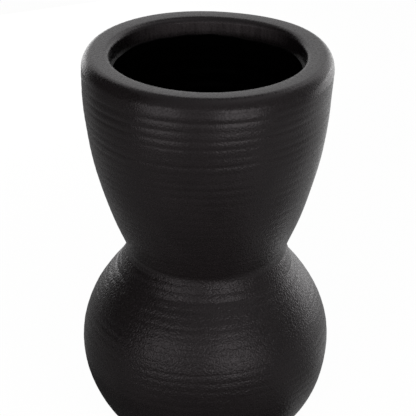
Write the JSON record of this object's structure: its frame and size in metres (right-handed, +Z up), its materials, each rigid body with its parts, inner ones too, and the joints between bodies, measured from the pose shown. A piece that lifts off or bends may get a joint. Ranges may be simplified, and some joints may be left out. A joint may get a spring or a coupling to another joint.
{
  "type": "vase",
  "caption": "Matte black stoneware vase with a flared cup and thick rounded rim, a drawn-in waist and a round belly on a turned foot ring, glazed inside to hold stems in water.",
  "frame": {"origin": "middle of the foot ring's underside, on the surface that the vase stands on", "axes": "+Z up along the turning axis; the vase is round, and -Y is the side that the picture's camera sees"},
  "size_m": [0.1078, 0.1078, 0.1811],
  "materials": {
    "black_stoneware": "matte, sandy, with throwing lines",
    "foot_stoneware": "bare turned clay, dry",
    "slip_clay": "fine matte clay",
    "coil_clay": "pressed matte clay",
    "black_glaze": "glossy poured glaze"
  },
  "bodies": {
    "root": {"cup": "black_stoneware", "belly": "black_stoneware", "waist_slip": "slip_clay", "waist_coil": "coil_clay", "foot_ring": "foot_stoneware", "foot_slip": "slip_clay", "liner_glaze": "black_glaze"}
  },
  "joints": []
}
